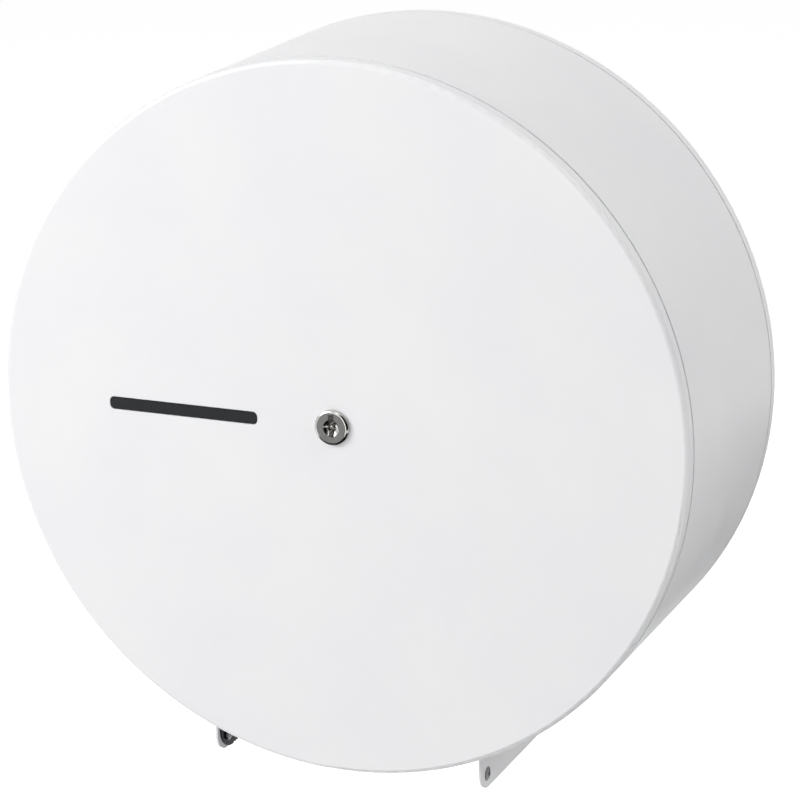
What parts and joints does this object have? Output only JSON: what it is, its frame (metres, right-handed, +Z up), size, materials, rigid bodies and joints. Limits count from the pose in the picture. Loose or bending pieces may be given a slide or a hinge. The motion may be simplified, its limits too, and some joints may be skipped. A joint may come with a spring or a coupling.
{
  "type": "jumbo toilet roll dispenser",
  "caption": "Round wall-mounted dispenser for a jumbo toilet roll, in white powder-coated sheet steel, with a hinged front door, key lock, level window and steel tear blades.",
  "frame": {"origin": "centre of the back plate's outline on the wall face, which is also the centre of the four wall holes", "axes": "+Z up, -Y out of the wall towards the user, +X to the viewer's right"},
  "size_m": [0.3054, 0.125, 0.3086],
  "materials": {
    "white_powder_coat": "fine-textured satin powder coat on sheet steel",
    "blade_steel": "blued spring steel strip",
    "rivet_steel": "plain pressed steel, dull",
    "zinc_plate": "bright zinc plate",
    "lock_nickel": "nickel-plated zinc die casting",
    "smoked_plastic": "smoked acrylic"
  },
  "bodies": {
    "root": {"back_plate": "white_powder_coat", "shell": "white_powder_coat", "spindle_flange": "white_powder_coat", "spindle_tube": "white_powder_coat", "spindle_keeper": "white_powder_coat", "tear_blade_left": "blade_steel", "tear_blade_right": "blade_steel", "blade_rivets_left": "rivet_steel", "blade_rivets_right": "rivet_steel", "hinge_leaf_body": "white_powder_coat", "hinge_rivets": "rivet_steel", "hinge_pin": "zinc_plate"},
    "door": {"door_panel": "white_powder_coat", "door_ring": "white_powder_coat", "window_lens": "smoked_plastic", "window_retainer": "white_powder_coat", "hinge_leaf_door": "white_powder_coat", "lock_body": "lock_nickel", "lock_washer": "zinc_plate", "lock_nut": "lock_nickel"},
    "lock": {"lock_plug": "lock_nickel", "lock_pin": "lock_nickel", "lock_retaining_ring": "zinc_plate", "lock_cam": "zinc_plate", "cam_screw": "zinc_plate"}
  },
  "joints": [
    {"name": "door", "type": "hinge", "parent": "root", "child": "door", "pos_m": [-0.1512, -0.11485, 0], "axis": [0, 0, -1], "range_deg": [0, 120]},
    {"name": "key", "type": "hinge", "parent": "door", "child": "lock", "pos_m": [0, -0.115, 0], "axis": [0, 1, 0], "range_deg": [0, 90]}
  ]
}
